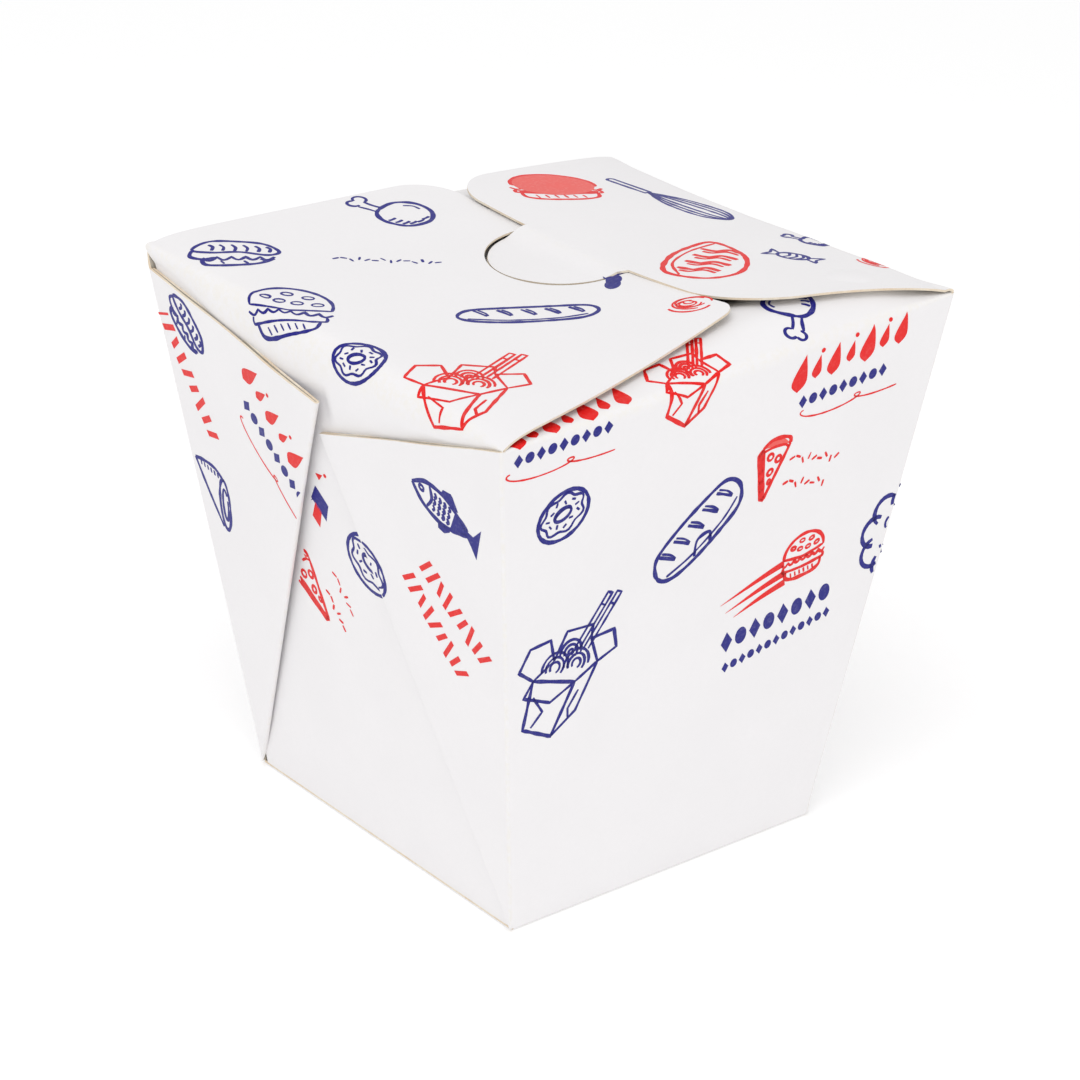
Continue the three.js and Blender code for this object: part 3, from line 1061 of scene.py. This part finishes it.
def drop_band(high=0.26, count=7):
    """A row of leaning drops of sauce, large and small by turns."""
    marks = []
    for i in range(count):
        x = mix(-0.9, 0.9, i / (count - 1))
        size = high * (1.0, 0.62, 0.86, 0.56)[i % 4]
        tip = (x + 0.42 * size, size)
        low = curve((x - 0.1 * size, -size), (x + 0.52 * size, -0.5 * size), tip, count=5)
        up = curve((x - 0.1 * size, -size), (x - 0.5 * size, -0.35 * size), tip, count=5)
        marks.append(filled(low, up))
        if i % 2:
            marks.append(disc(x + 0.1, high * 0.82, 0.035, 0.035))
    return marks


def bead_band(high=0.1, count=9):
    """A row of lozenges and beads by turns."""
    marks = []
    for i in range(count):
        x = mix(-1, 1, (i + 0.5) / count)
        wide = min(0.8 / count, high * 1.15)
        if i % 2:
            marks.append(disc(x, 0, wide, high * 0.8))
        else:
            marks.append(filled([(x - wide, 0), (x, -high), (x + wide, 0)],
                                [(x - wide, 0), (x, high), (x + wide, 0)]))
    return marks


def sprinkle_band(high=0.1, count=14):
    """A row of sugar sprinkles that lie all ways."""
    marks = []
    for i in range(count):
        x = mix(-1, 1, (i + 0.5) / count)
        y = 0.45 * high * math.sin(2.4 * i)
        dx, dy = polar(min(high * 0.8, 0.9 / count), 137.5 * i + 30)
        marks.append(line((x - dx, y - dy), (x, y), (x + dx, y + dy), weight=0.85))
    return marks


def flourish():
    """A thin curl of steam laid on its side."""
    points = []
    for i in range(61):
        t = i / 60
        a = 3.2 * math.pi * t
        points.append((mix(-0.9, 1, t) - 0.3 * math.sin(a), 0.1 * math.cos(a) * (1 - 0.5 * t)))
    return [("line", points, 0.55)]


def peppers():
    """Three long thin peppers lying side by side."""
    marks = []
    for i, (reach, y) in enumerate(((1.0, 0.3), (0.86, 0.0), (0.62, -0.26))):
        low = curve((-reach, y - 0.12), (0.2, y - 0.08), (1, y - 0.08), count=6)
        up = curve((-reach, y - 0.11), (0.2, y + 0.05), (1, y + 0.11), count=6)
        marks.append(filled(low, up))
    return marks


def noodle_knot():
    """A loose knot of noodles."""
    marks = [drawn(arc(0.1 * math.cos(i), 0.1 * math.sin(2 * i), 0.9 - 0.17 * i, 0.62 - 0.12 * i, 40 * i,
                       40 * i + 290), 0.7) for i in range(5)]
    return marks + [drawn(arc(0, -0.2, 1, 0.7, 200, 340), 0.9)]


def cloud_patch():
    """A puff of steam, filled in."""
    return [disc(0.32 * i, 0.1 * math.cos(2 * i), 0.34, 0.24) for i in range(-2, 3)]


def pennant():
    return [filled([(-1, -0.34), (-0.1, -0.3), (0.9, -0.36)], [(-1, 0.34), (-0.1, 0.38), (0.62, 0.32)])]


# ---------------------------------------------------------------- where the drawings go

# A drawing, its middle across and up its face in millimetres, half its width, its turn in degrees and its
# ink, then the only layer of board that shows it, where not all do. On a wall "up" is from the foot, on
# a flap from its crease.

FRONT_WALL = [
    (doughnut, -35.7, 86.2, 5.6, 24, "navy"),
    (pizza_slice, 11.0, 80.4, 6.0, -14, "red"),
    (lambda: sprinkle_band(0.15, 9), 21.6, 79.4, 6.4, -15, "red"),
    (lambda: sprinkle_band(0.17, 8), 20.0, 75.0, 5.6, -15, "red"),
    (lambda: long_loaf(0.4, 5, True), -4.2, 73.0, 10.7, 38, "navy"),
    (burger, 22.7, 59.8, 4.7, 4, "red"),
    (peppers, 11.4, 55.4, 7.4, 12, "red"),
    (lambda: bead_band(0.165, 8), 18.2, 48.2, 13.2, 6.8, "navy"),
    (lambda: bead_band(0.085, 13), 19.2, 43.2, 13.0, 8.5, "navy"),
    (popcorn, 46.5, 57.2, 9.4, 8, "navy"),
    (noodle_carton, -30.6, 54.8, 13.8, -13, "navy"),
    (lambda: drop_band(0.26, 7), 26.6, 98.4, 13.2, 5, "red"),
    (lambda: bead_band(0.12, 9), 26.0, 92.0, 10.6, 2, "navy"),
    (flourish, 26.8, 88.8, 10.8, 0, "red"),
    (lambda: drop_band(0.26, 7), -35.0, 106.3, 13.2, 3, "red"),
    (lambda: bead_band(0.12, 9), -37.6, 100.3, 10.6, 1.5, "navy"),
    (flourish, -38.8, 96.6, 10.8, -2, "red"),
    (noodle_carton, -8.6, 105.4, 10.2, -20, "red"),
    (drumstick, 19.2, 110.4, 7.6, 66, "navy"),
]
LEFT_WALL = [
    (fish, 32.6, 84.4, 8.7, -18, "navy"),
    (lambda: chip_band(0.23, 9), 32.2, 64.6, 10.4, -42.4, "red"),
    (lambda: chip_band(0.22, 9), 26.1, 59.4, 10.4, -49.8, "red"),
    (doughnut, 6.8, 62.4, 6.4, -30, "navy"),
    (pizza_slice, -12.4, 49.8, 6.6, 30, "red", "lid"),
    (lambda: sprinkle_band(0.22, 6), -2.6, 52.4, 4.4, -57, "red"),
    (lambda: sprinkle_band(0.22, 6), -5.6, 47.6, 4.2, -57, "red"),
    (lambda: chip_band(0.16, 9), -41.0, 81.6, 13.0, -61.8, "red"),
    (toasted_sandwich, -38.6, 92.2, 5.8, -50, "navy"),
    (lambda: drop_band(0.26, 6), -12.4, 82.8, 11.4, -45.6, "red"),
    (lambda: bead_band(0.13, 8), -15.1, 76.6, 10.6, -42, "navy"),
    (flourish, -18.0, 72.6, 10.0, -43, "red"),
    (pennant, -6.6, 71.0, 5.2, -42, "navy", "lid"),
    (pennant, -8.9, 68.8, 5.2, -42, "red", "lid"),
    (wrap, -38.4, 58.6, 6.6, -10, "navy"),
]
SLOTTED_FLAP = [
    (toasted_sandwich, -36, 10.4, 8.2, 52, "navy"),
    (drumstick, -35.2, 45.0, 8.8, 36, "navy"),
    (lambda: sprinkle_band(0.1, 14), -18.8, 31.6, 10.0, 52, "navy"),
    (burger, -12.9, 4.0, 8.3, 38, "navy"),
    (doughnut, 9.2, 1.4, 6.0, 42, "navy"),
    (lambda: long_loaf(0.24, 5), 14.2, 37.0, 12.6, 53.9, "navy"),
    (noodle_carton, 29.0, 10.0, 14.0, 36, "red"),
    (cloud_patch, 12.6, 59.0, 6.2, 128, "navy"),
    (noodle_knot, 33.2, 58.4, 3.9, 42, "red"),
]
TONGUE_FLAP = [
    (lambda: burger(True), 32.0, 25.0, 7.8, 248, "red"),
    (whisk, 17.1, 10.3, 14.8, 187.4, "navy"),
    (slashed_loaf, -15.2, 28.8, 10.6, 121, "red"),
    (sweet, -21.4, 14.2, 5.2, 205, "navy"),
    (drumstick, -13.4, 4.2, 4.8, 220, "navy"),
    (noodle_knot, -29.2, 1.6, 3.4, 200, "red"),
]
RIGHT_WALL = [
    (popcorn, -46.0, 60.0, 8.0, 10, "navy"),
    (noodle_carton, -27.6, 84.2, 10.6, -6, "red"),
    (lambda: drop_band(0.26, 7), 24.0, 90.6, 11.6, 4, "red"),
    (lambda: bead_band(0.12, 9), 23.6, 84.4, 10.0, 3, "navy"),
    (drumstick, 31.6, 68.4, 7.6, 28, "navy"),
    (slashed_loaf, -25.6, 62.6, 10.6, 34, "red"),
    (fish, 0.4, 74.6, 9.0, 14, "navy"),
    (lambda: chip_band(0.23, 9), 17.2, 52.8, 10.0, 8, "red"),
    (burger, -13.0, 43.4, 7.4, -8, "navy"),
    (pizza_slice, 2.6, 55.8, 6.4, 16, "red"),
    (sweet, 3.4, 92.0, 4.6, -12, "navy"),
]
REAR_WALL = [
    (noodle_carton, 28.8, 56.2, 14.0, 8, "navy"),
    (lambda: long_loaf(0.34, 6, True), 1.6, 76.4, 13.8, -32, "navy"),
    (lambda: drop_band(0.26, 7), -29.0, 94.4, 13.0, -3, "red"),
    (lambda: bead_band(0.12, 9), -28.6, 88.2, 10.6, -2, "navy"),
    (flourish, -28.4, 84.8, 10.8, 0, "red"),
    (lambda: burger(True), -21.4, 62.8, 6.6, -6, "red"),
    (lambda: bead_band(0.15, 8), -18.0, 50.4, 12.6, -5, "navy"),
    (lambda: chip_band(0.17, 8), 6.6, 60.6, 9.6, 12, "red"),
    (pizza_slice, 35.6, 84.4, 7.0, 12, "red"),
    (toasted_sandwich, 15.4, 93.6, 7.4, 10, "navy"),
    (popcorn, -44.2, 70.0, 7.4, -12, "navy"),
    (doughnut, -6.4, 96.2, 6.0, 8, "navy"),
    (wrap, 5.4, 43.8, 7.0, 24, "red"),
]


def evenly(points, step):
    """The same line with its points no further apart than step."""
    made = [points[0]]
    for (ax, ay), (bx, by) in zip(points, points[1:]):
        count = max(1, math.ceil(math.hypot(bx - ax, by - ay) / step))
        for i in range(1, count + 1):
            made.append((mix(ax, bx, i / count), mix(ay, by, i / count)))
    return made


class Face:
    """One face of the carton as a sheet to print on, x to the viewer's right and w up from its crease."""

    def __init__(self, carton, kind, which):
        self.carton, self.kind, self.which = carton, kind, which
        self.layers = []

    def region(self, x, w):
        """Which layer of board is on top there, or None where the drawing doesn't show."""
        layer = self.top_layer(x, w)
        return layer if not self.layers or layer in self.layers else None

    def top_layer(self, x, w):
        carton, which = self.carton, self.which
        if self.kind == "end":
            half = carton.end_width(min(1 + w / END_SLOPE, 1)) / 2
            return "wall" if abs(x) < half - CORNER and w < 30 else None
        if w > 0:
            on_tongue = which > 0 and w > FLAPS[1]["length"] - 0.1
            return "lid" if abs(x) < carton.flap_half(which, w) - 0.5 and not on_tongue else None
        u = x * which
        for end in (-1, 1):
            if carton.leaf_place(which, end, u, w):
                return end
        half = carton.side_width(which, 1 + w / SIDE_SLOPE) / 2
        if self.beside_leaf(u, w):
            return None
        return "lid" if abs(u) < half - 0.6 else None

    def beside_leaf(self, u, w):
        """Whether the board there is hidden by a leaf's turned edge."""
        for end in (-1, 1):
            for shift in (-0.5, 0.5):
                if self.carton.leaf_place(self.which, end, u + shift, w):
                    return True
        return False

    def point(self, region, x, w):
        carton, which = self.carton, self.which
        if self.kind == "end":
            return carton.end_face(which, x * -which, w)
        if region == "lid":
            return carton.side_face(which, x * which, w)
        spot = carton.leaf_place(which, region, x * which, w)
        if spot is None:
            return None
        return carton.leaf_face(which, region, *spot)

    def raised(self, region, x, w, height):
        at = self.point(region, x, w)
        if at is None:
            return None
        for step in (0.06, -0.06):
            right, up = self.point(region, x + step, w), self.point(region, x, w + step)
            if right is not None and up is not None:
                return at + (right - at).cross(up - at).normalized() * height
        return None


def runs_on(face, path):
    """A line cut into the runs that lie on one layer of board each."""
    runs, last = [], None
    for x, w in path:
        region = face.region(x, w)
        if region is not None and region == last:
            runs[-1][1].append((x, w))
        elif region is not None:
            runs.append((region, [(x, w)]))
        last = region
    return [run for run in runs if len(run[1]) > 2]


def ribbon(face, path, width, height):
    """Strips of ink along a line, a little uneven in width and finer at its ends."""
    strips = []
    for region, run in runs_on(face, evenly(path, 0.45)):
        sides = [[], []]
        for i, (x, w) in enumerate(run):
            ax, ay = run[max(i - 1, 0)]
            bx, by = run[min(i + 1, len(run) - 1)]
            size = math.hypot(bx - ax, by - ay) or 1
            ends = smooth(min(i, len(run) - 1 - i) + 1.5, 0, 4)
            uneven = 0.9 + 0.35 * noise.noise(Vector((x * 0.6, w * 0.6, width)))
            half = width / 2 * uneven * mix(0.6, 1, ends)
            nx, ny = -(by - ay) / size * half, (bx - ax) / size * half
            for row, sign in zip(sides, (-1, 1)):
                row.append(face.raised(region, x + sign * nx, w + sign * ny, height))
        keep = [i for i in range(len(run)) if sides[0][i] is not None and sides[1][i] is not None]
        if len(keep) > 2:
            strips.append([[row[i] for i in keep] for row in sides])
    return strips


def patch(face, low, high, height):
    """An area of ink between two lines, cut where the board under it ends."""
    strips = []
    count = max(len(low), len(high), 2) * 3
    a, b = resample(low, count), resample(high, count)
    wide = max(math.hypot(p[0] - q[0], p[1] - q[1]) for p, q in zip(a, b))
    rows = max(2, math.ceil(wide / 0.9))
    grid = [[(mix(p[0], q[0], j / rows), mix(p[1], q[1], j / rows)) for p, q in zip(a, b)]
            for j in range(rows + 1)]
    columns = []
    for i in range(count):
        regions = {face.region(*grid[j][i]) for j in range(rows + 1)}
        region = regions.pop() if len(regions) == 1 else None
        spots = [None]
        if region is not None:
            spots = [face.raised(region, *grid[j][i], height) for j in range(rows + 1)]
        columns.append((region, spots if all(spot is not None for spot in spots) else None))
    run, last = [], None
    for region, spots in [*columns, (None, None)]:
        if spots is None or region != last:
            if len(run) > 1:
                strips.append([[spots_i[j] for spots_i in run] for j in range(rows + 1)])
            run = []
        if spots is not None:
            run.append(spots)
        last = region if spots is not None else None
    return strips


def resample(points, count):
    """A line as so many points, evenly spaced along it."""
    steps = [0.0]
    for (ax, ay), (bx, by) in zip(points, points[1:]):
        steps.append(steps[-1] + math.hypot(bx - ax, by - ay))
    made, i = [], 0
    for k in range(count):
        want = steps[-1] * k / (count - 1)
        while i < len(points) - 2 and steps[i + 1] < want:
            i += 1
        span = steps[i + 1] - steps[i] or 1
        t = min((want - steps[i]) / span, 1)
        made.append((mix(points[i][0], points[i + 1][0], t), mix(points[i][1], points[i + 1][1], t)))
    return made


# Each ink's material and the record's slot for it.
INKS = {"red": ("red_ink", "red_ink"), "navy": ("navy_ink", "navy_ink"), "tint": ("red_tint", "red_ink")}


def ink_strips(face, drawings, width, height, crease):
    """All strips of a face's drawings by ink."""
    inks = {ink: [] for ink in INKS}
    for make, x, up, half, turn, ink, *layers in drawings:
        face.layers = layers
        for kind, a, b in moved_marks(make(), x, up - crease, half, turn):
            if kind == "line":
                inks[ink] += ribbon(face, a, width * b, height)
            elif kind == "fill":
                inks[ink] += patch(face, a, b, height)
            else:
                inks["tint" if ink == "red" else ink] += patch(face, a, b, height * 0.6)
    return inks


def moved_marks(marks, dx, dy, scale, turn):
    c, s = math.cos(math.radians(turn)) * scale, math.sin(math.radians(turn)) * scale

    def place(points):
        return [(dx + x * c - y * s, dy + x * s + y * c) for x, y in points]

    return [(kind, place(a), b if kind == "line" else place(b)) for kind, a, b in marks]


def ink_piece(name, strips, material):
    """The strips of one ink as one piece: a grid for each strip, laid on the board."""

    def add_grid(strip):
        columns, rows = len(strip[0]) - 1, len(strip) - 1
        bpy.ops.mesh.primitive_grid_add(x_subdivisions=columns, y_subdivisions=rows, size=1)

    deselect()
    add_grid(strips[0])
    piece = bpy.context.object
    piece.name = piece.data.name = name
    bpy.ops.object.mode_set(mode="EDIT")
    for strip in strips[1:]:
        add_grid(strip)
    bpy.ops.object.mode_set(mode="OBJECT")
    places = [c * MM for strip in strips for row in strip for point in row for c in point]
    piece.data.vertices.foreach_set("co", places)
    piece.data.update()
    piece.data.materials.append(material)
    give_thickness(piece, 0.02, edge_slots=False)
    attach(piece, "root")
    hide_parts("carton")
    return piece


def print_face(context, label, kind, which, walls, flap=()):
    sizes = context.scene.carton_sizes
    carton = Carton(sizes)
    face = Face(carton, kind, which)
    width, height = sizes.line / MM, sizes.ink / MM
    inks = ink_strips(face, walls, width, height, END_SLOPE if kind == "end" else SIDE_SLOPE)
    for ink, strips in ink_strips(face, flap, width, height, 0).items():
        inks[ink] += strips
    made = materials(context)
    for ink, (material, slot) in INKS.items():
        if inks[ink]:
            ink_piece(label + "_" + ink + "_print", inks[ink], made[material])


# ---------------------------------------------------------------- operators

class CARTON_OT_plain_walls(bpy.types.Operator):
    """Folds the front and rear walls with their dust flaps and corner leaves"""
    bl_idname = "carton.plain_walls"
    bl_label = "Plain Walls and Leaves"

    def execute(self, context):
        carton = Carton(context.scene.carton_sizes)
        for end in (-1, 1):
            finish_board(end_sheet(carton, end), board_materials(context), carton.board)
        return {"FINISHED"}


class CARTON_OT_leaved_walls(bpy.types.Operator):
    """Folds the two side walls with the lid's flaps, the tongue and the tab under it"""
    bl_idname = "carton.leaved_walls"
    bl_label = "Side Walls and Lid"

    def execute(self, context):
        carton = Carton(context.scene.carton_sizes)
        for side in (-1, 1):
            finish_board(side_sheet(carton, side), board_materials(context), carton.board)
        finish_board(slot_tab(carton), board_materials(context), carton.board)
        return {"FINISHED"}


class CARTON_OT_foot(bpy.types.Operator):
    """Lays the panel that the carton stands on"""
    bl_idname = "carton.foot"
    bl_label = "Foot Panel"

    def execute(self, context):
        carton = Carton(context.scene.carton_sizes)
        finish_board(foot_panel(carton), board_materials(context), carton.board)
        return {"FINISHED"}


class CARTON_OT_plain_wall_prints(bpy.types.Operator):
    """Prints the drawings on the front and rear walls"""
    bl_idname = "carton.plain_wall_prints"
    bl_label = "Prints on the Plain Walls"

    def execute(self, context):
        print_face(context, "front", "end", -1, FRONT_WALL)
        print_face(context, "rear", "end", 1, REAR_WALL)
        return {"FINISHED"}


class CARTON_OT_side_prints(bpy.types.Operator):
    """Prints the drawings on the side walls, their leaves and the lid"""
    bl_idname = "carton.side_prints"
    bl_label = "Prints on the Sides and Lid"

    def execute(self, context):
        print_face(context, "left", "side", -1, LEFT_WALL, SLOTTED_FLAP)
        print_face(context, "right", "side", 1, RIGHT_WALL, TONGUE_FLAP)
        return {"FINISHED"}


# Each light's place, what it points at, both in metres, and its power in watts.
SOFT_LIGHTS = (
    ("key", (0.2, -1.1, 0.5), (0, 0, 0.09), 0.7),
    ("top", (-0.5, -0.35, 1.15), (0, 0, 0.1), 5.0),
)
SOFT_LIGHT_WIDTH = 0.8
ROOM_LIGHT = 0.76
FLOOR_GLOW = 0.23
FLOOR_DROP = 0.00002
# The camera: its angles in degrees about what it looks at, how far off it is, and its lens.
TARGET = Vector((0.0007, 0.00091, 0.0508))
AZIMUTH, ELEVATION, ROLL = -39.614, 25.382, 1.83
DISTANCE = 0.672
SENSOR = 36
LENS = 3.44135185 * SENSOR


def soft_light(name, place, target, width, power):
    data = bpy.data.lights.new(name, "AREA")
    data.shape = "SQUARE"
    data.size = width
    data.energy = power
    lamp = bpy.data.objects.new(name, data)
    lamp.location = place
    lamp.rotation_euler = (Vector(target) - Vector(place)).to_track_quat("-Z", "Y").to_euler()
    bpy.context.scene.collection.objects.link(lamp)
    return lamp


class CARTON_OT_studio(bpy.types.Operator):
    """Sets the pale floor, the soft light and the camera"""
    bl_idname = "carton.studio"
    bl_label = "Studio"

    def execute(self, context):
        scene = context.scene
        deselect()
        bpy.ops.mesh.primitive_grid_add(x_subdivisions=8, y_subdivisions=8, size=scene.carton_sizes.floor,
                                        location=(0, 0, -FLOOR_DROP))
        floor = context.object
        floor.name = "floor"
        bpy.ops.object.transform_apply(location=True, rotation=True, scale=True)
        made = new_material("studio_floor")
        place = add(made, "ShaderNodeTexCoord").outputs["Object"]
        paint = tuple(scene.carton_colours.floor)
        tint = blend(made, ramp(made, grain(made, place, 60, 2), 0.3, 0.7), paint, shade(paint, 0.995))
        shader = add(made, "ShaderNodeBsdfPrincipled",
                     {"Base Color": tint, "Roughness": 0.9, "Specular IOR Level": 0.1,
                      "Emission Color": (1, 1, 1, 1), "Emission Strength": FLOOR_GLOW})
        add(made, "ShaderNodeOutputMaterial", {"Surface": shader.outputs[0]})
        floor.data.materials.append(made)

        world = bpy.data.worlds.new("soft_room")
        scene.world = world
        world.use_nodes = True
        backdrop = world.node_tree.nodes["Background"]
        backdrop.inputs["Strength"].default_value = ROOM_LIGHT
        backdrop.inputs["Color"].default_value = (1, 1, 1, 1)
        for name, place, target, watts in SOFT_LIGHTS:
            soft_light(name, place, target, SOFT_LIGHT_WIDTH, watts)

        data = bpy.data.cameras.new("camera")
        data.sensor_width = SENSOR
        data.lens = LENS
        data.clip_start, data.clip_end = 0.05, 20
        camera = bpy.data.objects.new("camera", data)
        scene.collection.objects.link(camera)
        azimuth, elevation, roll = (math.radians(a) for a in (AZIMUTH, ELEVATION, ROLL))
        back = Vector((math.sin(azimuth) * math.cos(elevation), -math.cos(azimuth) * math.cos(elevation),
                       math.sin(elevation)))
        level_right = Vector((math.cos(azimuth), math.sin(azimuth), 0))
        level_up = back.cross(level_right)
        right = level_right * math.cos(roll) + level_up * math.sin(roll)
        up = level_up * math.cos(roll) - level_right * math.sin(roll)
        turn = Matrix((right, up, back)).transposed()
        camera.matrix_world = Matrix.Translation(TARGET + back * DISTANCE) @ turn.to_4x4()
        scene.camera = camera
        scene.view_settings.view_transform = "Standard"
        scene.view_settings.look = "None"
        scene.view_settings.exposure = 0
        scene.view_settings.gamma = 1
        return {"FINISHED"}


class CARTON_PT_build(bpy.types.Panel):
    """The carton's sizes, colours and building steps"""
    bl_label = "Takeaway Carton"
    bl_space_type = "VIEW_3D"
    bl_region_type = "UI"
    bl_category = "Carton"

    def draw(self, context):
        for group in (context.scene.carton_sizes, context.scene.carton_colours):
            column = self.layout.column(align=True)
            for key in group.__annotations__:
                column.prop(group, key)
        for step in STEPS:
            self.layout.operator(step.bl_idname)


STEPS = (
    CARTON_OT_plain_walls,
    CARTON_OT_leaved_walls,
    CARTON_OT_foot,
    CARTON_OT_plain_wall_prints,
    CARTON_OT_side_prints,
    CARTON_OT_studio,
)
CLASSES = (CartonSizes, CartonColours, *STEPS, CARTON_PT_build)


def register():
    for cls in CLASSES:
        bpy.utils.register_class(cls)
    bpy.types.Scene.carton_sizes = PointerProperty(type=CartonSizes)
    bpy.types.Scene.carton_colours = PointerProperty(type=CartonColours)


def unregister():
    del bpy.types.Scene.carton_colours
    del bpy.types.Scene.carton_sizes
    for cls in reversed(CLASSES):
        bpy.utils.unregister_class(cls)


def main():
    register()
    for step in STEPS:
        group, name = step.bl_idname.split(".")
        getattr(getattr(bpy.ops, group), name)()


if __name__ == "__main__":
    main()
